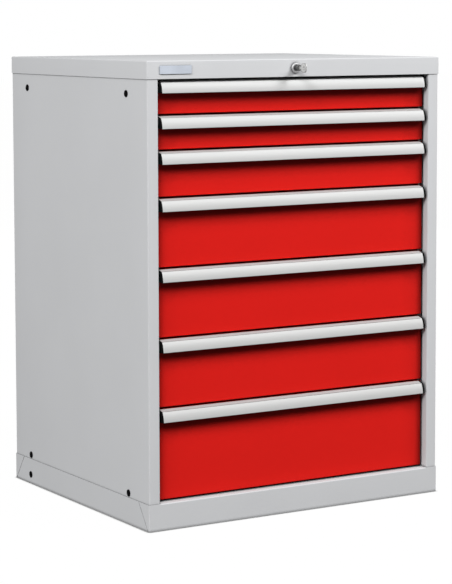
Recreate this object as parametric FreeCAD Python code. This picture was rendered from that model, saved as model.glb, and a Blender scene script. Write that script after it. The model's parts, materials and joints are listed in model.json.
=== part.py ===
"""Steel workshop drawer cabinet with seven drawers, a central lock and a key.

Millimetres, +Z up, the front faces -Y. The origin is the centre of the base of the whole
object's bounding box, with the key in its lock. Each node is written to parts/NODE.step.
"""
import FreeCAD, Part
import math
import os

Vector = FreeCAD.Vector

# Housing
CABINET_WIDTH = 758.0
CABINET_DEPTH = 650.0
PLINTH_HEIGHT = 58.5
COVER_BAND = 38.5
HOUSING_SHEET = 1.5
HOUSING_BEND = 1.0
POST_WIDTH = 28.0
POST_RETURN = 18.0
REAR_FLANGE = 25.0
BASE_LIP = 30.0
LEDGE_TURN_DOWN = 12.0
EAR_TOP = 45.0
EAR_FOOT = 4.0
MITRE_GAP = 1.2
FLOOR_FLANGE = 20.0
PANEL_GAP = 1.0
REAR_PANEL_INSET = 3.0

# Drawer stack, from the top drawer down
DRAWER_HEIGHTS = [75.0, 75.0, 100.0, 150.0, 150.0, 150.0, 200.0]
STACK_CLEARANCE = 1.5
FRONT_SETBACK = 20.5
FRONT_DEPTH = 18.0
FRONT_SHEET = 1.2
FRONT_SIDE_GAP = 2.0
FRONT_TOP_GAP = 2.0
FRONT_BOTTOM_GAP = 2.2
FRONT_EDGE_RADIUS = 1.8
FRONT_LAP = 8.0

# Handle section: how far behind the housing's front, and how far below the module's top
HANDLE_WALL = 2.2
HANDLE_FRONT = 1.6
HANDLE_SHOULDER = 7.6
HANDLE_STRIP_DROP = 3.8
HANDLE_BOTTOM = 28.0
HANDLE_BULGE = 1.5
HANDLE_GROOVE = 1.0
HANDLE_BACK_LENGTH = 14.0
HANDLE_END_GAP = 5.2
END_CAP = 5.0

# Trays
TRAY_SHEET = 1.2
TRAY_REAR_SPACE = 59.5
TRAY_FLOOR_GAP = 6.0
TRAY_RIM_GAP = 12.0
TRAY_HEM_HEIGHT = 10.0

# Uprights and slides, from the side wall inwards
UPRIGHT_DEPTH = 18.0
UPRIGHT_WIDTH = 40.0
UPRIGHT_SHEET = 2.0
UPRIGHT_END_OFFSET = 4.0
SLOT_PITCH = 50.0
SLOT_HEIGHT = 20.0
SLOT_WIDTH = 5.0
RAIL_SHEET = 2.0
RAIL_BEND = 1.0
RAIL_WIDTH = 12.0
RAIL_START = 4.0
RAIL_CENTRE = 34.0
ROLLER_DIAMETER = 23.4
ROLLER_CLEARANCE = 0.3
ROLLER_SIDE_GAP = 0.8
ROLLER_PIN_RADIUS = 4.0
CARRIAGE_BAR = 3.0
CARRIAGE_BAR_HEIGHT = 20.0
CARRIAGE_SIDE_GAP = 0.5
CARRIAGE_END_GAP = 16.0
TRAVEL_MARGIN = 2.0

# Lock
LOCK_OFFSET = -9.5
LOCK_RING_RADIUS = 11.5
LOCK_RING_DEPTH = 6.0
LOCK_NOSE = 10.0
LOCK_BARREL_RADIUS = 9.5
LOCK_BARREL_LENGTH = 26.0
LOCK_NUT_RADIUS = 14.6
LOCK_NUT_DEPTH = 4.0
CYLINDER_RADIUS = 7.0
CYLINDER_CLEARANCE = 0.3
CYLINDER_TAIL = 4.0
KEY_THICKNESS = 2.2
KEY_BLADE_HEIGHT = 8.0
KEY_BLADE_DEPTH = 22.0
KEY_STEM = 25.0
KEY_BOW_LENGTH = 19.0
KEY_BOW_HEIGHT = 20.0
KEY_HOLE_RADIUS = 2.6
KEYWAY_CLEARANCE = 0.2
SHAFT_RADIUS = 4.0
SHAFT_CLEARANCE = 0.3
CRANK_RADIUS = 8.0
CRANK_PIN_RADIUS = 2.5
CRANK_THICKNESS = 4.0
CRANK_GAP = 3.0
LOCK_SLOT_CLEARANCE = 0.4
LOCK_BAR_WIDTH = 26.0
LOCK_BAR_THICKNESS = 4.0
LOCK_BAR_OFFSET = 28.0
LOCK_BAR_HEAD = 5.0
LOCK_BAR_FOOT = 12.0
CATCH_WIDTH = 28.0
CATCH_REACH = 18.0
CATCH_SHEET = 2.0
CATCH_HEIGHT = 52.0
CATCH_LIP = 14.0
HOOK_THICKNESS = 3.0
HOOK_LIP = 12.0
HOOK_PLAY = 2.0
HOOK_CLEARANCE = 1.5
GUIDE_WIDTH = 44.0
GUIDE_HEIGHT = 16.0
GUIDE_WALL = 4.0
GUIDE_CLEARANCE = 0.4
BEARING_LENGTH = 10.0
BEARING_WIDTH = 24.0
BEARING_WALL = 6.0

# Small parts
PLUG_RADIUS = 7.5
PLUG_HEAD = 1.4
PLUG_STEM_RADIUS = 5.8
PLUG_HOLE_CLEARANCE = 0.2
PLUG_FRONT_INSET = 92.5
PLUG_REAR_INSET = 81.5
PLUG_TOP_INSET = 70.7
PLUG_ABOVE_PLINTH = 9.7
PLUG_BELOW_LEDGE = 37.0
PLATE_WIDTH = 77.0
PLATE_HEIGHT = 17.5
PLATE_THICKNESS = 2.0
PLATE_INSET = 31.0
PLATE_CORNER = 1.5
SCREW_HEAD_RADIUS = 4.5
SCREW_HEAD = 2.2
SCREW_SHANK_RADIUS = 2.0
SCREW_SHANK = 8.0
SCREW_EDGE = 12.0
SCREWS_PER_SIDE = 6

# Places worked out from the sizes above
STACK_HEIGHT = sum(DRAWER_HEIGHTS)
CABINET_HEIGHT = PLINTH_HEIGHT + STACK_HEIGHT + 2 * STACK_CLEARANCE + COVER_BAND
KEY_REACH = KEY_STEM + KEY_BOW_LENGTH
FRONT_Y = KEY_REACH - (KEY_REACH + CABINET_DEPTH + SCREW_HEAD) / 2
REAR_Y = FRONT_Y + CABINET_DEPTH
SIDE_X = CABINET_WIDTH / 2
WALL_X = SIDE_X - HOUSING_SHEET
WALL_INNER_X = WALL_X - HOUSING_SHEET
OPENING_X = SIDE_X - POST_WIDTH
COVER_Z = CABINET_HEIGHT - COVER_BAND
COVER_UNDERSIDE_Z = CABINET_HEIGHT - HOUSING_SHEET
FRONT_PLANE_Y = FRONT_Y + FRONT_SETBACK
TRAY_FRONT_Y = FRONT_PLANE_Y + FRONT_DEPTH
TRAY_REAR_Y = REAR_Y - TRAY_REAR_SPACE
DRAWER_TRAVEL = TRAY_REAR_Y - TRAY_FRONT_Y - TRAVEL_MARGIN
FRONT_X = OPENING_X - FRONT_SIDE_GAP
HANDLE_X = OPENING_X - HANDLE_END_GAP - END_CAP
UPRIGHT_X = WALL_INNER_X - UPRIGHT_DEPTH
FIXED_TIP_X = UPRIGHT_X - RAIL_WIDTH
BAR_OUTER_X = FIXED_TIP_X - CARRIAGE_SIDE_GAP
BAR_INNER_X = BAR_OUTER_X - CARRIAGE_BAR
RUNNER_TIP_X = BAR_INNER_X - CARRIAGE_SIDE_GAP
TRAY_X = RUNNER_TIP_X - RAIL_WIDTH
RAIL_HALF_HEIGHT = ROLLER_DIAMETER / 2 + ROLLER_CLEARANCE + RAIL_SHEET
RAIL_FRONT_Y = TRAY_FRONT_Y + RAIL_START
RAIL_REAR_Y = TRAY_REAR_Y
LOCK_X = LOCK_OFFSET
LOCK_Z = CABINET_HEIGHT - COVER_BAND / 2
PIN_OFFSET = CRANK_RADIUS * math.sin(math.radians(45.0))
LOCK_BAR_X = LOCK_X - (CRANK_RADIUS + PIN_OFFSET) / 2
LOCK_BAR_Y = TRAY_REAR_Y + LOCK_BAR_OFFSET


def module_bottoms():
    """Height of the lower edge of each drawer's module, from the top drawer down."""
    bottoms = []
    z = PLINTH_HEIGHT + STACK_CLEARANCE + STACK_HEIGHT
    for height in DRAWER_HEIGHTS:
        z -= height
        bottoms.append(z)
    return bottoms


def box(x_range, y_range, z_range):
    corner = Vector(x_range[0], y_range[0], z_range[0])
    sizes = [high - low for low, high in (x_range, y_range, z_range)]
    return Part.makeBox(sizes[0], sizes[1], sizes[2], corner)


def cylinder_y(radius, x, z, y_start, y_end):
    return Part.makeCylinder(radius, y_end - y_start, Vector(x, y_start, z), Vector(0, 1, 0))


def cylinder_x(radius, y, z, x_start, x_end):
    return Part.makeCylinder(radius, x_end - x_start, Vector(x_start, y, z), Vector(1, 0, 0))


def mirrored(shape):
    """The same piece on the other side of the cabinet."""
    return shape.mirror(Vector(0, 0, 0), Vector(1, 0, 0))


def fused(shapes):
    whole = shapes[0].multiFuse(shapes[1:])
    return whole.removeSplitter()


def both_sides(shape):
    return Part.makeCompound([mirrored(shape), shape])


def fillet_where(shape, radius, chosen):
    """Round the straight edges for which chosen(first, second) is true."""
    edges = []
    for edge in shape.Edges:
        if len(edge.Vertexes) == 2 and edge.Curve.TypeId == "Part::GeomLine":
            first, second = [vertex.Point for vertex in edge.Vertexes]
            if chosen(first, second):
                edges.append(edge)
    return shape.makeFillet(radius, edges)


def near(value, target):
    return abs(value - target) < 0.01


def in_plan(z):
    return lambda u, v: Vector(u, v, z)


def from_side(x):
    return lambda u, v: Vector(x, u, v)


def from_front(y):
    return lambda u, v: Vector(u, y, v)


def left_normal(start, end):
    du = end[0] - start[0]
    dv = end[1] - start[1]
    length = math.hypot(du, dv)
    return (-dv / length, du / length)


def offset_path(points, distance):
    """An open path moved to its left, with mitred corners."""
    shifted = []
    last = len(points) - 1
    for index, (u, v) in enumerate(points):
        before = left_normal(points[max(index - 1, 0)], points[max(index, 1)])
        after = left_normal(points[min(index, last - 1)], points[min(index + 1, last)])
        reach = distance / (1 + before[0] * after[0] + before[1] * after[1])
        shifted.append((u + (before[0] + after[0]) * reach, v + (before[1] + after[1]) * reach))
    return shifted


def turn_left(points, index):
    before = left_normal(points[index - 1], points[index])
    after = left_normal(points[index], points[index + 1])
    return before[0] * after[1] - before[1] * after[0] > 0


def rounded_edges(points, radii, place):
    """Straight runs joined by tangent arcs. radii has one entry for each inner corner."""
    edges = []
    here = points[0]
    for index in range(1, len(points) - 1):
        before = left_normal(points[index - 1], points[index])
        after = left_normal(points[index], points[index + 1])
        half = math.acos(before[0] * after[0] + before[1] * after[1]) / 2
        radius = radii[index - 1]
        reach = radius * math.tan(half)
        corner = points[index]
        start = (corner[0] - before[1] * reach, corner[1] + before[0] * reach)
        end = (corner[0] + after[1] * reach, corner[1] - after[0] * reach)
        middle_u = (start[0] + end[0]) / 2 - corner[0]
        middle_v = (start[1] + end[1]) / 2 - corner[1]
        inward = math.hypot(middle_u, middle_v)
        sag = (radius / math.cos(half) - radius) / inward
        middle = (corner[0] + middle_u * sag, corner[1] + middle_v * sag)
        edges.append(Part.LineSegment(place(*here), place(*start)).toShape())
        edges.append(Part.Arc(place(*start), place(*middle), place(*end)).toShape())
        here = end
    edges.append(Part.LineSegment(place(*here), place(*points[-1])).toShape())
    return edges


def bent_sheet(points, thickness, bend, place, along):
    """Sheet folded along an open path, with its metal on the path's left, swept by a vector."""
    inner = offset_path(points, thickness)
    outer_radii = []
    inner_radii = []
    for index in range(1, len(points) - 1):
        towards_metal = turn_left(points, index)
        outer_radii.append(bend + thickness if towards_metal else bend)
        inner_radii.append(bend if towards_metal else bend + thickness)
    edges = rounded_edges(points, outer_radii, place)
    edges.append(Part.LineSegment(place(*points[-1]), place(*inner[-1])).toShape())
    edges += rounded_edges(inner[::-1], inner_radii[::-1], place)
    edges.append(Part.LineSegment(place(*inner[0]), place(*points[0])).toShape())
    return Part.Face(Part.Wire(edges)).extrude(along)


def plate_from(points, place, along):
    """A flat plate with a straight-sided outline."""
    corners = [place(*point) for point in points]
    return Part.Face(Part.makePolygon(corners + corners[:1])).extrude(along)


def plug_places():
    """Distance along Y and height of each plug on a side wall."""
    front = FRONT_Y + PLUG_FRONT_INSET
    rear = REAR_Y - PLUG_REAR_INSET
    top = CABINET_HEIGHT - PLUG_TOP_INSET
    low = PLINTH_HEIGHT + PLUG_ABOVE_PLINTH
    return [(front, top), (rear, top), (front, low), (rear, low),
            (rear, PLINTH_HEIGHT - PLUG_BELOW_LEDGE)]


def plug_holes(shape):
    """Cut the plugs' holes through the sheets of the right-hand side."""
    radius = PLUG_STEM_RADIUS + PLUG_HOLE_CLEARANCE
    holes = [cylinder_x(radius, y, z, WALL_INNER_X - HOUSING_BEND, SIDE_X + HOUSING_BEND)
             for y, z in plug_places()]
    return shape.cut(Part.makeCompound(holes))


def side_wall():
    """Right-hand wall: one sheet folded into the rear flange, the wall and the front post."""
    front = FRONT_Y + HOUSING_SHEET
    rear = REAR_Y - HOUSING_SHEET
    path = [
        (OPENING_X, front + POST_RETURN),
        (OPENING_X, front),
        (WALL_X, front),
        (WALL_X, rear),
        (WALL_X - REAR_FLANGE, rear),
    ]
    height = Vector(0, 0, COVER_UNDERSIDE_Z - HOUSING_SHEET)
    wall = bent_sheet(path, HOUSING_SHEET, HOUSING_BEND, in_plan(HOUSING_SHEET), height)
    return plug_holes(wall)


def top_cover():
    """Cap over the housing, with a fold under its front band and the hole for the lock."""
    outer = box((-SIDE_X, SIDE_X), (FRONT_Y, REAR_Y), (COVER_Z, CABINET_HEIGHT))

    def outer_edge(first, second):
        top = near(first.z, CABINET_HEIGHT) and near(second.z, CABINET_HEIGHT)
        upright = not near(first.z, second.z)
        return top or upright

    outer = fillet_where(outer, HOUSING_BEND + HOUSING_SHEET, outer_edge)
    hollow = box((-WALL_X, WALL_X), (FRONT_Y + HOUSING_SHEET, REAR_Y - HOUSING_SHEET),
                 (COVER_Z, COVER_UNDERSIDE_Z))
    fold_x = OPENING_X - PANEL_GAP / 2
    fold_path = [
        (FRONT_Y + HOUSING_SHEET, COVER_Z),
        (FRONT_PLANE_Y, COVER_Z),
        (FRONT_PLANE_Y, COVER_Z + LEDGE_TURN_DOWN),
    ]
    fold = bent_sheet(fold_path, HOUSING_SHEET, HOUSING_BEND, from_side(-fold_x),
                      Vector(2 * fold_x, 0, 0))
    lock_hole = cylinder_y(LOCK_BARREL_RADIUS, LOCK_X, LOCK_Z, FRONT_Y - HOUSING_SHEET,
                           FRONT_Y + 2 * HOUSING_SHEET)
    lock_space = cylinder_y(LOCK_NUT_RADIUS + PANEL_GAP, LOCK_X, LOCK_Z,
                            FRONT_Y + HOUSING_SHEET, FRONT_PLANE_Y + HOUSING_SHEET)
    return fused([outer.cut(hollow), fold.cut(lock_space)]).cut(lock_hole)


def beyond_ear(y_corner, direction):
    """Wedge that cuts a folded ear off on a slant, on both sides of the cabinet."""
    slant = (EAR_TOP - EAR_FOOT) / PLINTH_HEIGHT
    foot = EAR_FOOT - slant * MITRE_GAP
    top = EAR_TOP + slant * MITRE_GAP
    outline = [
        (y_corner + direction * foot, -MITRE_GAP),
        (y_corner + direction * top, PLINTH_HEIGHT + MITRE_GAP),
        (y_corner + direction * 2 * top, PLINTH_HEIGHT + MITRE_GAP),
        (y_corner + direction * 2 * top, -MITRE_GAP),
    ]
    wedge = plate_from(outline, from_side(WALL_X - HOUSING_BEND),
                       Vector(HOUSING_SHEET + 2 * HOUSING_BEND, 0, 0))
    return both_sides(wedge)


def plinth_front():
    """Front skirt with its ledge between the posts, a foot lip and two folded ears."""
    ledge_x = OPENING_X - PANEL_GAP / 2
    ledge_path = [
        (FRONT_PLANE_Y, PLINTH_HEIGHT - LEDGE_TURN_DOWN),
        (FRONT_PLANE_Y, PLINTH_HEIGHT),
        (FRONT_Y, PLINTH_HEIGHT),
        (FRONT_Y, 0),
    ]
    middle = bent_sheet(ledge_path, HOUSING_SHEET, HOUSING_BEND, from_side(-ledge_x),
                        Vector(2 * ledge_x, 0, 0))
    end_path = [(ledge_x, FRONT_Y), (SIDE_X, FRONT_Y), (SIDE_X, FRONT_Y + EAR_TOP)]
    end = bent_sheet(end_path, HOUSING_SHEET, HOUSING_BEND, in_plan(0),
                     Vector(0, 0, PLINTH_HEIGHT))
    end = end.cut(beyond_ear(FRONT_Y, 1))
    lip = box((-WALL_X, WALL_X), (FRONT_Y + HOUSING_SHEET / 2, FRONT_Y + BASE_LIP),
              (0, HOUSING_SHEET))
    return fused([middle, end, mirrored(end), lip])


def plinth_frame():
    """Rear skirt with its ears, and both side flanges, each with the foot lip it stands on."""
    path = [
        (SIDE_X, REAR_Y - EAR_TOP),
        (SIDE_X, REAR_Y),
        (-SIDE_X, REAR_Y),
        (-SIDE_X, REAR_Y - EAR_TOP),
    ]
    skirt = bent_sheet(path, HOUSING_SHEET, HOUSING_BEND, in_plan(0), Vector(0, 0, PLINTH_HEIGHT))
    skirt = skirt.cut(beyond_ear(REAR_Y, -1))
    rear_lip = box((-WALL_X, WALL_X), (REAR_Y - BASE_LIP, REAR_Y - HOUSING_SHEET / 2),
                   (0, HOUSING_SHEET))
    slant = (EAR_TOP - EAR_FOOT) / PLINTH_HEIGHT
    gap = MITRE_GAP * math.hypot(1, slant)
    foot = EAR_FOOT + gap
    top = EAR_TOP + gap
    outline = [
        (FRONT_Y + foot, 0),
        (FRONT_Y + top, PLINTH_HEIGHT),
        (REAR_Y - top, PLINTH_HEIGHT),
        (REAR_Y - foot, 0),
    ]
    flange = plate_from(outline, from_side(WALL_X), Vector(HOUSING_SHEET, 0, 0))
    lip = box((SIDE_X - BASE_LIP, SIDE_X - HOUSING_SHEET / 2),
              (FRONT_Y + BASE_LIP + PANEL_GAP, REAR_Y - BASE_LIP), (0, HOUSING_SHEET))
    side = plug_holes(fused([flange, lip]))
    return Part.makeCompound([fused([skirt, rear_lip]), side, mirrored(side)])


def floor_panel():
    """Sheet that closes the housing below the lowest drawer, with strips welded under its
    edges."""
    front = FRONT_PLANE_Y + PANEL_GAP
    rear = REAR_Y - 2 * HOUSING_SHEET - PANEL_GAP
    side = WALL_INNER_X
    underside = PLINTH_HEIGHT - HOUSING_SHEET
    depths = (PLINTH_HEIGHT - FLOOR_FLANGE, underside)
    sheet = box((-side, side), (front, rear), (underside, PLINTH_HEIGHT))
    side_strip = box((side - HOUSING_SHEET, side), (front, rear), depths)
    inner = (-side + HOUSING_SHEET, side - HOUSING_SHEET)
    front_strip = box(inner, (front, front + HOUSING_SHEET), depths)
    rear_strip = box(inner, (rear - HOUSING_SHEET, rear), depths)
    return Part.makeCompound([sheet, side_strip, mirrored(side_strip), front_strip, rear_strip])


def rear_panel():
    """Flat sheet screwed over the rear flanges of the side walls."""
    half = SIDE_X - REAR_PANEL_INSET
    return box((-half, half), (REAR_Y - HOUSING_SHEET, REAR_Y),
               (PLINTH_HEIGHT + PANEL_GAP, COVER_Z - PANEL_GAP))


def screw_places():
    """Where the rear panel's screws sit, on the right-hand side."""
    low = PLINTH_HEIGHT + PANEL_GAP + SCREW_EDGE
    step = (COVER_Z - PANEL_GAP - SCREW_EDGE - low) / (SCREWS_PER_SIDE - 1)
    x = WALL_X - REAR_FLANGE / 2
    return [(x, low + step * index) for index in range(SCREWS_PER_SIDE)]


def screw_shank_holes(shape):
    start = REAR_Y - 3 * HOUSING_SHEET
    end = REAR_Y + HOUSING_SHEET
    holes = [cylinder_y(SCREW_SHANK_RADIUS, x, z, start, end) for x, z in screw_places()]
    return shape.cut(both_sides(Part.makeCompound(holes)))


def rear_screws():
    screws = []
    for x, z in screw_places():
        head = cylinder_y(SCREW_HEAD_RADIUS, x, z, REAR_Y, REAR_Y + SCREW_HEAD)
        head = head.makeFillet(SCREW_HEAD / 2, [head.Edges[edge_at_end(head, REAR_Y + SCREW_HEAD)]])
        shank = cylinder_y(SCREW_SHANK_RADIUS, x, z, REAR_Y - SCREW_SHANK, REAR_Y)
        screws.append(fused([head, shank]))
    return both_sides(Part.makeCompound(screws))


def edge_at_end(shape, y):
    """Index of the circle that lies wholly at the given Y."""
    for index, edge in enumerate(shape.Edges):
        if near(edge.BoundBox.YMin, y) and near(edge.BoundBox.YMax, y):
            return index
    raise ValueError("no edge at that end")


def slotted_uprights():
    """Four channels on the side walls, with a row of slots that the fixed rails hook into."""
    bottom = PLINTH_HEIGHT
    height = COVER_UNDERSIDE_Z - bottom
    starts = [RAIL_FRONT_Y + UPRIGHT_END_OFFSET, RAIL_REAR_Y - UPRIGHT_END_OFFSET - UPRIGHT_WIDTH]
    channels = []
    for start in starts:
        end = start + UPRIGHT_WIDTH
        path = [(WALL_INNER_X, end), (UPRIGHT_X, end), (UPRIGHT_X, start), (WALL_INNER_X, start)]
        channel = bent_sheet(path, UPRIGHT_SHEET, HOUSING_BEND, in_plan(bottom),
                             Vector(0, 0, height))
        middle = (start + end) / 2
        slots = []
        count = int((height - SLOT_HEIGHT) // SLOT_PITCH)
        for index in range(count):
            z = bottom + SLOT_PITCH * (index + 0.5)
            slots.append(box((UPRIGHT_X - UPRIGHT_SHEET, UPRIGHT_X + 2 * UPRIGHT_SHEET),
                             (middle - SLOT_WIDTH / 2, middle + SLOT_WIDTH / 2),
                             (z, z + SLOT_HEIGHT)))
        channels.append(channel.cut(Part.makeCompound(slots)))
    return both_sides(Part.makeCompound(channels))


def channel_rail(web_x, tip_x, z_centre):
    """Slide channel along Y, open towards tip_x."""
    low = z_centre - RAIL_HALF_HEIGHT
    high = z_centre + RAIL_HALF_HEIGHT
    path = [(tip_x, low), (web_x, low), (web_x, high), (tip_x, high)]
    if web_x < tip_x:
        path = path[::-1]
    return bent_sheet(path, RAIL_SHEET, RAIL_BEND, from_front(RAIL_FRONT_Y),
                      Vector(0, RAIL_REAR_Y - RAIL_FRONT_Y, 0))


def fixed_rails():
    rails = [channel_rail(UPRIGHT_X, FIXED_TIP_X, bottom + RAIL_CENTRE)
             for bottom in module_bottoms()]
    return both_sides(Part.makeCompound(rails))


def drawer_runners(bottom):
    return both_sides(channel_rail(TRAY_X, RUNNER_TIP_X, bottom + RAIL_CENTRE))


def roller_places():
    """Y of the rollers in the fixed rail and of those in the drawer's runner, at rest."""
    radius = ROLLER_DIAMETER / 2
    shift = DRAWER_TRAVEL / 2
    fixed_low = RAIL_FRONT_Y + shift + radius
    fixed_high = RAIL_REAR_Y - CARRIAGE_END_GAP - radius
    runner_low = RAIL_FRONT_Y + CARRIAGE_END_GAP + radius
    runner_high = RAIL_REAR_Y - shift - 2 * radius
    return [fixed_low, fixed_high], [runner_low, runner_high]


def carriage(bottom):
    """Bar between a fixed rail and a runner, with two rollers in each, on both sides."""
    z = bottom + RAIL_CENTRE
    in_fixed, in_runner = roller_places()
    bar = box((BAR_INNER_X, BAR_OUTER_X),
              (RAIL_FRONT_Y + CARRIAGE_END_GAP, RAIL_REAR_Y - CARRIAGE_END_GAP),
              (z - CARRIAGE_BAR_HEIGHT / 2, z + CARRIAGE_BAR_HEIGHT / 2))
    fixed_far_x = UPRIGHT_X - RAIL_SHEET - ROLLER_SIDE_GAP
    runner_far_x = TRAY_X + RAIL_SHEET + ROLLER_SIDE_GAP
    pieces = []
    pins = []
    for y in in_fixed:
        pin = cylinder_x(ROLLER_PIN_RADIUS, y, z, BAR_OUTER_X, fixed_far_x)
        roller = cylinder_x(ROLLER_DIAMETER / 2, y, z, BAR_OUTER_X + ROLLER_SIDE_GAP, fixed_far_x)
        pins.append(pin)
        pieces.append(roller.cut(pin))
    for y in in_runner:
        pin = cylinder_x(ROLLER_PIN_RADIUS, y, z, runner_far_x, BAR_INNER_X)
        roller = cylinder_x(ROLLER_DIAMETER / 2, y, z, runner_far_x, BAR_INNER_X - ROLLER_SIDE_GAP)
        pins.append(pin)
        pieces.append(roller.cut(pin))
    pieces.append(fused([bar] + pins))
    return both_sides(Part.makeCompound(pieces))


def tray(bottom, height):
    """Pan of a floor and four hemmed walls. A catch for the lock bar is welded on behind it,
    in two strips."""
    low = bottom + TRAY_FLOOR_GAP
    high = bottom + height - TRAY_RIM_GAP
    wall = (low + TRAY_SHEET, high)
    hem = (high - TRAY_HEM_HEIGHT, high)
    once = TRAY_X - TRAY_SHEET
    twice = TRAY_X - 2 * TRAY_SHEET
    inner_y = (TRAY_FRONT_Y + TRAY_SHEET, TRAY_REAR_Y - TRAY_SHEET)
    floor = box((-TRAY_X, TRAY_X), (TRAY_FRONT_Y, TRAY_REAR_Y), (low, low + TRAY_SHEET))
    side = fused([box((once, TRAY_X), (TRAY_FRONT_Y, TRAY_REAR_Y), wall),
                  box((twice, once), inner_y, hem)])
    front = fused([box((-once, once), (TRAY_FRONT_Y, inner_y[0]), wall),
                   box((-twice, twice), (inner_y[0], inner_y[0] + TRAY_SHEET), hem)])
    rear = fused([box((-once, once), (inner_y[1], TRAY_REAR_Y), wall),
                  box((-twice, twice), (inner_y[1] - TRAY_SHEET, inner_y[1]), hem)])
    catch_x = (LOCK_BAR_X - CATCH_WIDTH / 2, LOCK_BAR_X + CATCH_WIDTH / 2)
    catch_rear = TRAY_REAR_Y + CATCH_REACH
    catch_top = bottom + CATCH_HEIGHT
    shelf = box(catch_x, (TRAY_REAR_Y, catch_rear), (catch_top - CATCH_SHEET, catch_top))
    lip = box(catch_x, (catch_rear - CATCH_SHEET, catch_rear),
              (catch_top - CATCH_LIP, catch_top - CATCH_SHEET))
    return Part.makeCompound([floor, side, mirrored(side), front, rear, shelf, lip])


def drawer_front(bottom, height):
    """Front panel folded back on all four sides and then inwards, onto the tray's front wall."""
    low = bottom + FRONT_BOTTOM_GAP
    high = bottom + height - FRONT_TOP_GAP
    outer = box((-FRONT_X, FRONT_X), (FRONT_PLANE_Y, TRAY_FRONT_Y), (low, high))

    def outer_edge(first, second):
        at_front = near(first.y, FRONT_PLANE_Y) and near(second.y, FRONT_PLANE_Y)
        along_depth = not near(first.y, second.y)
        return at_front or along_depth

    outer = fillet_where(outer, FRONT_EDGE_RADIUS, outer_edge)
    hollow = box((-FRONT_X + FRONT_SHEET, FRONT_X - FRONT_SHEET),
                 (FRONT_PLANE_Y + FRONT_SHEET, TRAY_FRONT_Y - FRONT_SHEET),
                 (low + FRONT_SHEET, high - FRONT_SHEET))
    window_x = TRAY_X - FRONT_LAP
    window = box((-window_x, window_x), (TRAY_FRONT_Y - 2 * FRONT_SHEET, TRAY_FRONT_Y),
                 (bottom + TRAY_FLOOR_GAP + FRONT_LAP, bottom + height - TRAY_RIM_GAP - FRONT_LAP))
    return outer.cut(hollow).cut(window)


def handle_outline(top, inset):
    """Corners of the handle's outer surface, moved inwards by inset, in the side view."""
    back_y = FRONT_PLANE_Y
    shoulder = (FRONT_Y + HANDLE_SHOULDER + inset, top - HANDLE_STRIP_DROP - inset)
    foot = (FRONT_Y + HANDLE_FRONT + inset, top - (HANDLE_BOTTOM - FRONT_TOP_GAP))
    middle = ((shoulder[0] + foot[0]) / 2 - HANDLE_BULGE, (shoulder[1] + foot[1]) / 2)
    return (back_y - inset, top - inset), shoulder, middle, foot


def line_edges(points, place):
    """Straight edges through the points in turn."""
    return [Part.LineSegment(place(*start), place(*end)).toShape()
            for start, end in zip(points, points[1:])]


def arc_edge(start, middle, end, place):
    return Part.Arc(place(*start), place(*middle), place(*end)).toShape()


def handle_section(top, x):
    """Face of the extrusion: sloping strip, groove, bowed front and a short back leg."""
    place = from_side(x)
    back, shoulder, middle, foot = handle_outline(top, 0)
    in_back, in_shoulder, in_middle, in_foot = handle_outline(top, HANDLE_WALL)
    slope = (back[1] - shoulder[1]) / (back[0] - shoulder[0])
    groove_y = shoulder[0] + 2 * HANDLE_GROOVE
    groove_z = shoulder[1] + slope * 2 * HANDLE_GROOVE
    groove = [
        (groove_y, groove_z),
        (groove_y, groove_z - HANDLE_GROOVE),
        (groove_y - HANDLE_GROOVE, groove_z - HANDLE_GROOVE),
    ]
    foot_tip = (foot[0] + HANDLE_WALL / 2, foot[1] - HANDLE_WALL / 3)
    inner_strip = (in_back[0], in_shoulder[1] + slope * (in_back[0] - in_shoulder[0]))
    leg_z = back[1] - HANDLE_BACK_LENGTH
    leg = [(in_back[0], leg_z), (back[0], leg_z)]
    edges = line_edges([back] + groove + [shoulder], place)
    edges.append(arc_edge(shoulder, middle, foot, place))
    edges.append(arc_edge(foot, foot_tip, in_foot, place))
    edges.append(arc_edge(in_foot, in_middle, in_shoulder, place))
    edges += line_edges([in_shoulder, inner_strip] + leg + [back], place)
    return Part.Face(Part.Wire(edges))


def handle(bottom, height):
    top = bottom + height - FRONT_TOP_GAP
    return handle_section(top, -HANDLE_X).extrude(Vector(2 * HANDLE_X, 0, 0))


def end_caps(bottom, height):
    """Plates that close the ends of the handle, with the same outline."""
    top = bottom + height - FRONT_TOP_GAP
    place = from_side(HANDLE_X)
    back, shoulder, middle, foot = handle_outline(top, 0)
    low_back = (back[0], foot[1])
    edges = line_edges([foot, low_back, back, shoulder], place)
    edges.append(arc_edge(shoulder, middle, foot, place))
    cap = Part.Face(Part.Wire(edges)).extrude(Vector(END_CAP, 0, 0))

    outer_x = HANDLE_X + END_CAP
    rim = [edge for edge in cap.Edges
           if near(edge.BoundBox.XMin, outer_x) and near(edge.BoundBox.XMax, outer_x)
           and edge.BoundBox.YMin < back[1] and edge.BoundBox.ZLength > HANDLE_WALL / 2
           and edge.BoundBox.YLength > HANDLE_WALL / 2]
    cap = cap.makeFillet(END_CAP / 5, rim)
    return both_sides(cap)


def side_hole_plugs():
    plugs = []
    for y, z in plug_places():
        outer_x = SIDE_X if z < PLINTH_HEIGHT else WALL_X
        head = cylinder_x(PLUG_RADIUS, y, z, outer_x, outer_x + PLUG_HEAD)
        rim = [edge for edge in head.Edges
               if near(edge.BoundBox.XMin, outer_x + PLUG_HEAD)
               and near(edge.BoundBox.XMax, outer_x + PLUG_HEAD)]
        head = head.makeFillet(PLUG_HEAD / 2, rim)
        stem = cylinder_x(PLUG_STEM_RADIUS, y, z, WALL_INNER_X, outer_x)
        plugs.append(fused([head, stem]))
    return both_sides(Part.makeCompound(plugs))


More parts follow.
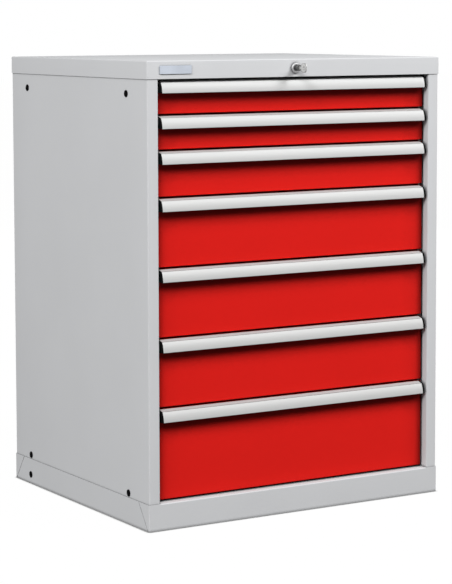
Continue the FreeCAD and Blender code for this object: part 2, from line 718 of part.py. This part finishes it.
def name_plate():
    """Bare plate on the left of the cover's front band."""
    left = -SIDE_X + PLATE_INSET
    low = LOCK_Z - PLATE_HEIGHT / 2
    plate = box((left, left + PLATE_WIDTH), (FRONT_Y - PLATE_THICKNESS, FRONT_Y),
                (low, low + PLATE_HEIGHT))
    return fillet_where(plate, PLATE_CORNER, lambda first, second: not near(first.y, second.y))


def lock_housing():
    """Lock barrel with its ring outside the cover, and the nut behind the sheet."""
    ring = cylinder_y(LOCK_RING_RADIUS, LOCK_X, LOCK_Z, FRONT_Y - LOCK_RING_DEPTH, FRONT_Y)
    rim = edge_at_end(ring, FRONT_Y - LOCK_RING_DEPTH)
    ring = ring.makeFillet(LOCK_RING_DEPTH / 2, [ring.Edges[rim]])
    barrel = cylinder_y(LOCK_BARREL_RADIUS, LOCK_X, LOCK_Z, FRONT_Y, FRONT_Y + LOCK_BARREL_LENGTH)
    bore = cylinder_y(CYLINDER_RADIUS + CYLINDER_CLEARANCE, LOCK_X, LOCK_Z,
                      FRONT_Y - 2 * LOCK_RING_DEPTH, FRONT_Y + 2 * LOCK_BARREL_LENGTH)
    corners = []
    for index in range(6):
        angle = math.radians(60.0 * index)
        corners.append((LOCK_X + LOCK_NUT_RADIUS * math.cos(angle),
                        LOCK_Z + LOCK_NUT_RADIUS * math.sin(angle)))
    nut = plate_from(corners, from_front(FRONT_Y + HOUSING_SHEET), Vector(0, LOCK_NUT_DEPTH, 0))
    return Part.makeCompound([fused([ring, barrel]).cut(bore), nut.cut(barrel)])


def keyway():
    half = KEY_THICKNESS / 2 + KEYWAY_CLEARANCE
    tall = KEY_BLADE_HEIGHT / 2 + KEYWAY_CLEARANCE
    return box((LOCK_X - half, LOCK_X + half),
               (FRONT_Y - KEY_STEM, FRONT_Y + KEY_BLADE_DEPTH),
               (LOCK_Z - tall, LOCK_Z + tall))


def lock_cylinder():
    """Turning plug that stands in front of its ring, with the keyway in its face."""
    start = FRONT_Y - LOCK_RING_DEPTH - LOCK_NOSE
    end = FRONT_Y + LOCK_BARREL_LENGTH + CYLINDER_TAIL
    plug = cylinder_y(CYLINDER_RADIUS, LOCK_X, LOCK_Z, start, end)
    plug = plug.makeFillet(LOCK_NOSE / 10, [plug.Edges[edge_at_end(plug, start)]])
    return plug.cut(keyway())


def key():
    """Flat key with its blade in the lock and its bow upright in front."""
    x_range = (LOCK_X - KEY_THICKNESS / 2, LOCK_X + KEY_THICKNESS / 2)
    blade = box(x_range, (FRONT_Y - KEY_STEM, FRONT_Y + KEY_BLADE_DEPTH),
                (LOCK_Z - KEY_BLADE_HEIGHT / 2, LOCK_Z + KEY_BLADE_HEIGHT / 2))
    bow = box(x_range, (FRONT_Y - KEY_REACH, FRONT_Y - KEY_STEM),
              (LOCK_Z - KEY_BOW_HEIGHT / 2, LOCK_Z + KEY_BOW_HEIGHT / 2))
    corner = KEY_BOW_HEIGHT / 3
    bow = fillet_where(bow, corner, lambda first, second: not near(first.x, second.x))
    hole_y = FRONT_Y - KEY_REACH + 2 * KEY_HOLE_RADIUS + KEY_THICKNESS
    hole = cylinder_x(KEY_HOLE_RADIUS, hole_y, LOCK_Z, x_range[0] - KEY_THICKNESS,
                      x_range[1] + KEY_THICKNESS)
    return fused([blade, bow]).cut(hole)


def lock_shaft():
    """Rod from the lock to the rear, with a crank whose pin works the lock bar."""
    start = FRONT_Y + LOCK_BARREL_LENGTH + CYLINDER_TAIL
    crank_end = LOCK_BAR_Y - CRANK_GAP
    crank_start = crank_end - CRANK_THICKNESS
    rod = cylinder_y(SHAFT_RADIUS, LOCK_X, LOCK_Z, start, crank_start)
    disc_radius = CRANK_RADIUS + CRANK_PIN_RADIUS + HOUSING_SHEET
    disc = cylinder_y(disc_radius, LOCK_X, LOCK_Z, crank_start, crank_end)
    pin = cylinder_y(CRANK_PIN_RADIUS, LOCK_X - PIN_OFFSET, LOCK_Z - PIN_OFFSET, crank_end,
                     LOCK_BAR_Y + LOCK_BAR_THICKNESS + CRANK_GAP)
    return fused([rod, disc, pin])


def lock_bar():
    """Flat bar behind the drawers: a slot for the crank's pin, and a hook welded on in strips
    for each drawer."""
    pin_z = LOCK_Z - PIN_OFFSET
    half_slot = CRANK_PIN_RADIUS + LOCK_SLOT_CLEARANCE
    top = pin_z + half_slot + LOCK_BAR_HEAD
    bottoms = module_bottoms()
    hook_top = CATCH_HEIGHT - CATCH_LIP - HOOK_CLEARANCE
    arm_top = hook_top - HOOK_LIP
    x_range = (LOCK_BAR_X - LOCK_BAR_WIDTH / 2, LOCK_BAR_X + LOCK_BAR_WIDTH / 2)
    y_range = (LOCK_BAR_Y, LOCK_BAR_Y + LOCK_BAR_THICKNESS)
    bar = box(x_range, y_range, (bottoms[-1] + arm_top - HOOK_THICKNESS - LOCK_BAR_FOOT, top))
    slot = box((LOCK_X - CRANK_RADIUS - half_slot, LOCK_X - PIN_OFFSET + half_slot),
               (y_range[0] - LOCK_BAR_THICKNESS, y_range[1] + LOCK_BAR_THICKNESS),
               (pin_z - half_slot, pin_z + half_slot))
    pieces = [bar.cut(slot)]
    lip_rear = TRAY_REAR_Y + CATCH_REACH - CATCH_SHEET - HOOK_PLAY
    hook_half = CATCH_WIDTH / 2 - HOOK_THICKNESS
    hook_x = (LOCK_BAR_X - hook_half, LOCK_BAR_X + hook_half)
    for bottom in bottoms:
        pieces.append(box(hook_x, (lip_rear - HOOK_THICKNESS, LOCK_BAR_Y),
                          (bottom + arm_top - HOOK_THICKNESS, bottom + arm_top)))
        pieces.append(box(hook_x, (lip_rear - HOOK_THICKNESS, lip_rear),
                          (bottom + arm_top, bottom + hook_top)))
    return Part.makeCompound(pieces)


def lock_guides():
    """Three blocks on the rear panel that guide the lock bar, and the shaft's rear bearing."""
    bottoms = module_bottoms()
    rear = REAR_Y - HOUSING_SHEET
    half_slot_x = LOCK_BAR_WIDTH / 2 + GUIDE_CLEARANCE
    slot_y = (LOCK_BAR_Y - GUIDE_CLEARANCE, LOCK_BAR_Y + LOCK_BAR_THICKNESS + GUIDE_CLEARANCE)
    blocks = []
    for z in (bottoms[0], bottoms[len(bottoms) // 2], bottoms[-2]):
        z_range = (z - GUIDE_HEIGHT / 2, z + GUIDE_HEIGHT / 2)
        block = box((LOCK_BAR_X - GUIDE_WIDTH / 2, LOCK_BAR_X + GUIDE_WIDTH / 2),
                    (slot_y[0] - GUIDE_WALL, rear), z_range)
        slot = box((LOCK_BAR_X - half_slot_x, LOCK_BAR_X + half_slot_x), slot_y, z_range)
        blocks.append(block.cut(slot))
    hole_radius = SHAFT_RADIUS + SHAFT_CLEARANCE
    bearing = box((LOCK_X - BEARING_WIDTH / 2, LOCK_X + BEARING_WIDTH / 2),
                  (TRAY_REAR_Y - BEARING_LENGTH, TRAY_REAR_Y),
                  (LOCK_Z - hole_radius - BEARING_WALL, COVER_UNDERSIDE_Z))
    bore = cylinder_y(hole_radius, LOCK_X, LOCK_Z, TRAY_REAR_Y - 2 * BEARING_LENGTH,
                      TRAY_REAR_Y + BEARING_LENGTH)
    blocks.append(bearing.cut(bore))
    return Part.makeCompound(blocks)


def build_parts():
    """Every node by name."""
    wall = screw_shank_holes(side_wall())
    parts = {
        "side_wall_right": wall,
        "side_wall_left": mirrored(wall),
        "rear_panel": screw_shank_holes(rear_panel()),
        "top_cover": top_cover(),
        "plinth_front": plinth_front(),
        "plinth_frame": plinth_frame(),
        "floor_panel": floor_panel(),
        "slotted_uprights": slotted_uprights(),
        "fixed_rails": fixed_rails(),
        "rear_screws": rear_screws(),
        "side_hole_plugs": side_hole_plugs(),
        "name_plate": name_plate(),
        "lock_housing": lock_housing(),
        "lock_cylinder": lock_cylinder(),
        "key": key(),
        "lock_shaft": lock_shaft(),
        "lock_bar": lock_bar(),
        "lock_guides": lock_guides(),
    }
    for index, (bottom, height) in enumerate(zip(module_bottoms(), DRAWER_HEIGHTS)):
        name = f"drawer_{index + 1}"
        parts[f"{name}_front"] = drawer_front(bottom, height)
        parts[f"{name}_tray"] = tray(bottom, height)
        parts[f"{name}_handle"] = handle(bottom, height)
        parts[f"{name}_end_caps"] = end_caps(bottom, height)
        parts[f"{name}_runners"] = drawer_runners(bottom)
        parts[f"{name}_carriage"] = carriage(bottom)
    return parts


os.makedirs("parts", exist_ok=True)
for node, shape in build_parts().items():
    shape.exportStep(f"parts/{node}.step")
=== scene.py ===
import json
import math

import bpy
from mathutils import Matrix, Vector

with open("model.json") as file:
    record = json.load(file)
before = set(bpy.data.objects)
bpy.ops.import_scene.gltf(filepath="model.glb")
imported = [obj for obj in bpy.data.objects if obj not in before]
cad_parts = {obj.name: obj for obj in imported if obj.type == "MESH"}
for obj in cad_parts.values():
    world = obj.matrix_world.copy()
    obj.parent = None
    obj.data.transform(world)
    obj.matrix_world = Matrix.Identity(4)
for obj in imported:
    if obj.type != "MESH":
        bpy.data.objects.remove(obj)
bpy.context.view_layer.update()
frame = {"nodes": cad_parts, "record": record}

nodes = frame["nodes"]
scene = bpy.context.scene

# Photograph's frame and the camera that took it, in pixels, metres and degrees
PHOTO_WIDTH = 452
PHOTO_HEIGHT = 584
OPTICAL_CENTRE_X = 226.0
OPTICAL_CENTRE_Y = 212.0
FOCAL_PIXELS = 2122.5
CAMERA_PLACE = (-2.536, -4.174, 1.087)
CAMERA_YAW = 31.277
CAMERA_PITCH = -5.203
CAMERA_ROLL = 0.14
SENSOR_MM = 36.0

# Room, in metres
FLOOR_SIZE = 60.0
FLOOR_COLOUR = (0.1, 0.1, 0.1, 1)
FLOOR_WHITE_SHARE = 0.92
FLOOR_WHITE_STRENGTH = 1.08
# Painted contact shade on the floor where the cabinet stands
FLOOR_CONTACT_SHADE_REACH = 0.007
FLOOR_CONTACT_SHADE_DARKEST = 0.1
WHITE = (1, 1, 1, 1)
AMBIENT = 0.05

# Lamps: name, azimuth, elevation, distance, size and level
LAMP_TARGET = (0, 0, 0.55)
LAMPS = (
    ("key_left", 46, 37, 9.0, 2.7, 0.65),
    ("key_right", -36, 37, 6.0, 2.2, 0.72),
    ("side_fill", 86, 12, 9.0, 3.5, 0.34),
    ("rear_fill", -140, 6, 6.0, 3.0, 0.5),
)

# Shares of free directions below which a gap's painted shade is darkest and above which it is
# open
CREVICE_CLOSED = 0.45
CREVICE_OPENED = 0.95
CREVICE_SAMPLES = 6
OVERHANG_TILT = (0, 0, 0.9)

# Part of the noise's range that is stretched over the whole change
NOISE_LOW = 0.3
NOISE_HIGH = 0.7

# Bump heights, in metres
COAT_GRAIN_HEIGHT = 0.00003
METAL_LINE_HEIGHT = 0.000004
BLACK_GRAIN_HEIGHT = 0.00001
PLATE_GRAIN_HEIGHT = 0.000004

# Shading of the pieces, in metres and degrees
WELD_DISTANCE = 0.000002
SHARP_ANGLE = 25


def make_camera():
    data = bpy.data.cameras.new("camera")
    data.sensor_fit = "AUTO"
    data.sensor_width = SENSOR_MM
    data.lens = FOCAL_PIXELS / PHOTO_HEIGHT * SENSOR_MM
    data.shift_x = (PHOTO_WIDTH / 2 - OPTICAL_CENTRE_X) / PHOTO_HEIGHT
    data.shift_y = (OPTICAL_CENTRE_Y - PHOTO_HEIGHT / 2) / PHOTO_HEIGHT
    camera = bpy.data.objects.new("camera", data)
    camera.location = CAMERA_PLACE
    camera.rotation_euler = [math.radians(angle)
                             for angle in (90 + CAMERA_PITCH, CAMERA_ROLL, -CAMERA_YAW)]
    scene.collection.objects.link(camera)
    scene.camera = camera


def seen_ray(tree):
    """1 for rays that show the background: from the camera, in gloss or through glass."""
    path = tree.nodes.new("ShaderNodeLightPath")
    first = tree.nodes.new("ShaderNodeMath")
    first.operation = "MAXIMUM"
    tree.links.new(path.outputs["Is Camera Ray"], first.inputs[0])
    tree.links.new(path.outputs["Is Glossy Ray"], first.inputs[1])
    second = tree.nodes.new("ShaderNodeMath")
    second.operation = "MAXIMUM"
    tree.links.new(first.outputs[0], second.inputs[0])
    tree.links.new(path.outputs["Is Transmission Ray"], second.inputs[1])
    return second.outputs[0]


def make_world():
    world = bpy.data.worlds.new("studio")
    scene.world = world
    world.use_nodes = True
    tree = world.node_tree
    tree.nodes.clear()
    strength = tree.nodes.new("ShaderNodeMapRange")
    strength.inputs["To Min"].default_value = AMBIENT
    strength.inputs["To Max"].default_value = 1.0
    tree.links.new(seen_ray(tree), strength.inputs["Value"])
    background = tree.nodes.new("ShaderNodeBackground")
    background.inputs["Color"].default_value = WHITE
    tree.links.new(strength.outputs["Result"], background.inputs["Strength"])
    output = tree.nodes.new("ShaderNodeOutputWorld")
    tree.links.new(background.outputs[0], output.inputs["Surface"])


def make_floor():
    material = bpy.data.materials.new("pale_floor")
    material.use_nodes = True
    tree = material.node_tree
    tree.nodes.clear()
    diffuse = tree.nodes.new("ShaderNodeBsdfDiffuse")
    diffuse.inputs["Color"].default_value = FLOOR_COLOUR
    white = tree.nodes.new("ShaderNodeEmission")
    white.inputs["Strength"].default_value = FLOOR_WHITE_STRENGTH
    # Painted contact shade: the floor's white darkens where it meets the cabinet
    painted_contact_shade = painted_shade(tree, FLOOR_CONTACT_SHADE_REACH, FLOOR_CONTACT_SHADE_DARKEST)[0]
    tree.links.new(painted_contact_shade, white.inputs["Color"])
    share = tree.nodes.new("ShaderNodeMath")
    share.operation = "MULTIPLY"
    share.inputs[1].default_value = FLOOR_WHITE_SHARE
    tree.links.new(seen_ray(tree), share.inputs[0])
    mix = tree.nodes.new("ShaderNodeMixShader")
    tree.links.new(share.outputs[0], mix.inputs["Fac"])
    tree.links.new(diffuse.outputs[0], mix.inputs[1])
    tree.links.new(white.outputs[0], mix.inputs[2])
    output = tree.nodes.new("ShaderNodeOutputMaterial")
    tree.links.new(mix.outputs[0], output.inputs["Surface"])

    half = FLOOR_SIZE / 2
    mesh = bpy.data.meshes.new("floor")
    corners = [(-half, -half, 0), (half, -half, 0), (half, half, 0), (-half, half, 0)]
    mesh.from_pydata(corners, [], [(0, 1, 2, 3)])
    mesh.materials.append(material)
    floor = bpy.data.objects.new("floor", mesh)
    scene.collection.objects.link(floor)


def soft_light(name, azimuth, elevation, distance, size, level):
    """Square lamp aimed at the cabinet. Azimuth 0 is in front and 90 on the left. Level 1
    shows a white surface that faces the lamp as white."""
    target = Vector(LAMP_TARGET)
    flat = math.cos(math.radians(elevation))
    away = Vector((-math.sin(math.radians(azimuth)) * flat,
                   -math.cos(math.radians(azimuth)) * flat,
                   math.sin(math.radians(elevation))))
    data = bpy.data.lights.new(name, "AREA")
    data.shape = "SQUARE"
    data.size = size
    data.energy = level * math.pi ** 2 * distance ** 2
    lamp = bpy.data.objects.new(name, data)
    lamp.location = target + away * distance
    lamp.rotation_euler = away.to_track_quat("Z", "Y").to_euler()
    scene.collection.objects.link(lamp)


def make_lights():
    for lamp in LAMPS:
        soft_light(*lamp)


def start_material(name):
    material = bpy.data.materials.new(name)
    material.use_nodes = True
    tree = material.node_tree
    return material, tree, tree.nodes["Principled BSDF"]


def object_noise(tree, scale, detail, stretch=(1, 1, 1)):
    """Noise in metres that moves with the piece."""
    place = tree.nodes.new("ShaderNodeTexCoord")
    mapping = tree.nodes.new("ShaderNodeMapping")
    mapping.inputs["Scale"].default_value = stretch
    noise = tree.nodes.new("ShaderNodeTexNoise")
    noise.inputs["Scale"].default_value = scale
    noise.inputs["Detail"].default_value = detail
    tree.links.new(place.outputs["Object"], mapping.inputs["Vector"])
    tree.links.new(mapping.outputs["Vector"], noise.inputs["Vector"])
    return noise.outputs["Fac"]


def spread(tree, source, low, high):
    """The noise stretched to run from low to high."""
    span = tree.nodes.new("ShaderNodeMapRange")
    span.inputs["From Min"].default_value = NOISE_LOW
    span.inputs["From Max"].default_value = NOISE_HIGH
    span.inputs["To Min"].default_value = low
    span.inputs["To Max"].default_value = high
    tree.links.new(source, span.inputs["Value"])
    return span.outputs["Result"]


def shade_of(tree, source, colour, change):
    """The colour, a little darker and lighter with the noise."""
    ramp = tree.nodes.new("ShaderNodeMix")
    ramp.data_type = "RGBA"
    ramp.inputs["A"].default_value = [c * (1 - change) for c in colour] + [1]
    ramp.inputs["B"].default_value = [min(1, c * (1 + change)) for c in colour] + [1]
    tree.links.new(spread(tree, source, 0, 1), ramp.inputs["Factor"])
    return ramp.outputs["Result"]


def painted_shade(tree, reach, darkest, closed=CREVICE_CLOSED, opened=CREVICE_OPENED, inside=False):
    """A share of painted shade and the socket for the direction it looks in. It is 1 on open
    surfaces and falls to the darkest value in gaps and along seams or, if inside, along thin
    outer edges."""
    occlusion = tree.nodes.new("ShaderNodeAmbientOcclusion")
    occlusion.samples = CREVICE_SAMPLES
    occlusion.inside = inside
    occlusion.inputs["Distance"].default_value = reach
    span = tree.nodes.new("ShaderNodeMapRange")
    span.inputs["From Min"].default_value = closed
    span.inputs["From Max"].default_value = opened
    span.inputs["To Min"].default_value = darkest
    span.inputs["To Max"].default_value = 1.0
    tree.links.new(occlusion.outputs["AO"], span.inputs["Value"])
    return span.outputs["Result"], occlusion.inputs["Normal"]


def painted_overhang_shadow(tree, reach, darkest, closed, opened):
    """Painted shade like that of a gap, but it looks obliquely upwards, so the painted shadow
    falls mainly below an overhang.
    """
    share, normal = painted_shade(tree, reach, darkest, closed, opened)
    surface = tree.nodes.new("ShaderNodeNewGeometry")
    raised = tree.nodes.new("ShaderNodeVectorMath")
    raised.inputs[1].default_value = OVERHANG_TILT
    tree.links.new(surface.outputs["Normal"], raised.inputs[0])
    unit = tree.nodes.new("ShaderNodeVectorMath")
    unit.operation = "NORMALIZE"
    tree.links.new(raised.outputs["Vector"], unit.inputs[0])
    tree.links.new(unit.outputs["Vector"], normal)
    return share


def darkened(tree, colour, share):
    """The colour, darkened where the share is below 1."""
    scaled = tree.nodes.new("ShaderNodeVectorMath")
    scaled.operation = "SCALE"
    tree.links.new(colour, scaled.inputs["Vector"])
    tree.links.new(share, scaled.inputs["Scale"])
    return scaled.outputs["Vector"]


def bounced(tree, colour, share):
    """The colour, darkened by the share where it only lights its neighbours."""
    path = tree.nodes.new("ShaderNodeLightPath")
    span = tree.nodes.new("ShaderNodeMapRange")
    span.inputs["To Min"].default_value = 1.0
    span.inputs["To Max"].default_value = share
    tree.links.new(path.outputs["Is Diffuse Ray"], span.inputs["Value"])
    return darkened(tree, colour, span.outputs["Result"])


def bump(tree, source, height, shader):
    node = tree.nodes.new("ShaderNodeBump")
    node.inputs["Strength"].default_value = 1.0
    node.inputs["Distance"].default_value = height
    tree.links.new(source, node.inputs["Height"])
    tree.links.new(node.outputs["Normal"], shader.inputs["Normal"])


def powder_coat(name, colour, specular, bounce, painted_shade_share):
    """Fine-textured powder coat: small soft grains, and a slow drift in shade."""
    material, tree, shader = start_material(name)
    slow = object_noise(tree, scale=6, detail=3)
    grain = object_noise(tree, scale=1400, detail=2)
    # Painted shade: the colour darkens where the shade share falls, and for diffuse rays by the
    # bounce share, so it throws less light on its neighbours
    shade = darkened(tree, shade_of(tree, slow, colour, change=0.012), painted_shade_share(tree))
    tree.links.new(bounced(tree, shade, bounce), shader.inputs["Base Color"])
    tree.links.new(spread(tree, grain, low=0.55, high=0.65), shader.inputs["Roughness"])
    shader.inputs["Specular IOR Level"].default_value = specular
    bump(tree, grain, COAT_GRAIN_HEIGHT, shader)
    return material


def satin_aluminium(name, colour):
    """Anodised aluminium extrusion, with faint drawing lines along X."""
    material, tree, shader = start_material(name)
    lines = object_noise(tree, scale=1, detail=3, stretch=(6, 2600, 2600))
    # Painted shade in the handle's groove and along its seams
    painted_groove_shade = painted_shade(tree, reach=0.003, darkest=0.2)[0]
    shade = darkened(tree, shade_of(tree, lines, colour, change=0.02), painted_groove_shade)
    tree.links.new(shade, shader.inputs["Base Color"])
    tree.links.new(spread(tree, lines, low=0.5, high=0.58), shader.inputs["Roughness"])
    shader.inputs["Metallic"].default_value = 0.15
    shader.inputs["Specular IOR Level"].default_value = 0.2
    bump(tree, lines, METAL_LINE_HEIGHT, shader)
    return material


def plated_steel(name, colour, rough_low, rough_high, edge=1.0):
    """Zinc or nickel plated sheet, with cloudy patches and fine rolling lines along Y. An edge
    value below 1 paints shade along its thin outer edges."""
    material, tree, shader = start_material(name)
    clouds = object_noise(tree, scale=45, detail=4)
    lines = object_noise(tree, scale=1, detail=2, stretch=(1800, 15, 1800))
    shade = shade_of(tree, clouds, colour, change=0.07)
    if edge < 1:
        # Painted shade along the thin outer edges
        painted_edge_shade = painted_shade(tree, reach=0.0019, darkest=edge, inside=True)[0]
        shade = darkened(tree, shade, painted_edge_shade)
    tree.links.new(shade, shader.inputs["Base Color"])
    tree.links.new(spread(tree, clouds, rough_low, rough_high), shader.inputs["Roughness"])
    shader.inputs["Metallic"].default_value = 1.0
    bump(tree, lines, METAL_LINE_HEIGHT, shader)
    return material


def moulded_plastic(name, colour, rough_low, rough_high, specular, height):
    """Moulded plastic with a fine spark-eroded grain."""
    material, tree, shader = start_material(name)
    grain = object_noise(tree, scale=2200, detail=2)
    slow = object_noise(tree, scale=30, detail=2)
    tree.links.new(shade_of(tree, slow, colour, change=0.06), shader.inputs["Base Color"])
    tree.links.new(spread(tree, grain, rough_low, rough_high), shader.inputs["Roughness"])
    shader.inputs["Specular IOR Level"].default_value = specular
    bump(tree, grain, height, shader)
    return material


# Painted shade in the seams and gaps of the grey coat
def painted_seam_shade(tree):
    return painted_shade(tree, reach=0.007, darkest=0.3)[0]


# Painted shadow below each handle on the red fronts
def handle_shadow(tree):
    return painted_overhang_shadow(tree, reach=0.06, darkest=0.32, closed=0.53, opened=0.82)


def make_materials():
    return {
        "grey_paint": powder_coat("grey_powder_coat", (0.655, 0.662, 0.675),
                                  specular=0.0, bounce=1.0, painted_shade_share=painted_seam_shade),
        # Red coat: painted shadow below the handles, and less of its light bounced onto its
        # neighbours
        "red_paint": powder_coat("red_powder_coat", (0.77, 0.0135, 0.0098),
                                 specular=0.07, bounce=0.4, painted_shade_share=handle_shadow),
        "aluminium": satin_aluminium("satin_aluminium", (0.52, 0.522, 0.518)),
        "zinc_steel": plated_steel("zinc_plate", (0.62, 0.63, 0.64),
                                   rough_low=0.3, rough_high=0.42),
        "bright_steel": plated_steel("ground_steel", (0.56, 0.57, 0.58),
                                     rough_low=0.2, rough_high=0.3),
        "black_plastic": moulded_plastic("black_moulding", (0.006, 0.006, 0.0065),
                                         rough_low=0.45, rough_high=0.55,
                                         specular=0.0, height=BLACK_GRAIN_HEIGHT),
        "plate_plastic": moulded_plastic("plate", (0.566, 0.61, 0.687),
                                         rough_low=0.35, rough_high=0.45,
                                         specular=0.15, height=PLATE_GRAIN_HEIGHT),
        "chrome": plated_steel("chrome_plate", (0.36, 0.36, 0.365),
                               rough_low=0.48, rough_high=0.56),
        # Dark chrome for the lock cylinder's face
        "lock_face": plated_steel("dark_chrome", (0.1, 0.1, 0.1),
                                  rough_low=0.3, rough_high=0.4),
        "screw_zinc": plated_steel("screw_zinc", (0.36, 0.365, 0.37),
                                   rough_low=0.4, rough_high=0.5),
        # Nickel plate with painted shade along the key's thin outer edges
        "key_steel": plated_steel("nickel_plate", (0.66, 0.66, 0.65),
                                  rough_low=0.45, rough_high=0.55, edge=0.2),
    }


def smooth(piece):
    """Rounds the shading of curved faces and keeps folded edges sharp."""
    weld = piece.modifiers.new("weld", "WELD")
    weld.merge_threshold = WELD_DISTANCE
    split = piece.modifiers.new("sharp_edges", "EDGE_SPLIT")
    split.split_angle = math.radians(SHARP_ANGLE)
    for polygon in piece.data.polygons:
        polygon.use_smooth = True


def dress_nodes(materials):
    slots = {row["node"]: row["material_slot"] for row in frame["record"]["subparts"]}
    slots["lock_cylinder"] = "lock_face"
    slots["rear_screws"] = "screw_zinc"
    for name, piece in nodes.items():
        piece.data.materials.clear()
        piece.data.materials.append(materials[slots[name]])
        smooth(piece)


make_camera()
make_world()
make_floor()
make_lights()
scene.view_settings.view_transform = "Standard"
dress_nodes(make_materials())
